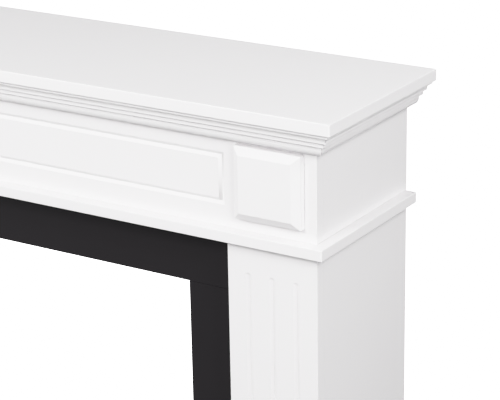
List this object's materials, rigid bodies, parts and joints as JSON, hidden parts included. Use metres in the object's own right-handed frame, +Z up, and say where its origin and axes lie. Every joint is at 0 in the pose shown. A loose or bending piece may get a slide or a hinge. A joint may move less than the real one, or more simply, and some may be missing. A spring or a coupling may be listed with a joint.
{
  "type": "fireplace mantelpiece",
  "caption": "Free-standing white fireplace mantelpiece: shelf on a stepped cornice, grooved frieze with corner blocks, fluted legs and a flat black frame round the opening.",
  "frame": {"origin": "on the floor, at the middle of the shelf's width and depth", "axes": "+Z up, the front faces -Y, +X to the right of someone facing the front"},
  "size_m": [1.22, 0.33, 1.041],
  "materials": {
    "white_paint": "smooth satin white paint on fibreboard",
    "black_paint": "smooth matt black paint on fibreboard"
  },
  "bodies": {
    "root": {"mantel_shelf": "white_paint", "cornice_front": "white_paint", "cornice_left": "white_paint", "cornice_right": "white_paint", "frieze_board": "white_paint", "frieze_side_left": "white_paint", "frieze_side_right": "white_paint", "corner_block_left": "white_paint", "corner_block_right": "white_paint", "ledge_board": "white_paint", "pilaster_front_left": "white_paint", "pilaster_front_right": "white_paint", "pilaster_side_left": "white_paint", "pilaster_side_right": "white_paint", "pilaster_return_left": "white_paint", "pilaster_return_right": "white_paint", "opening_header": "black_paint", "opening_upright_left": "black_paint", "opening_upright_right": "black_paint"}
  },
  "joints": []
}
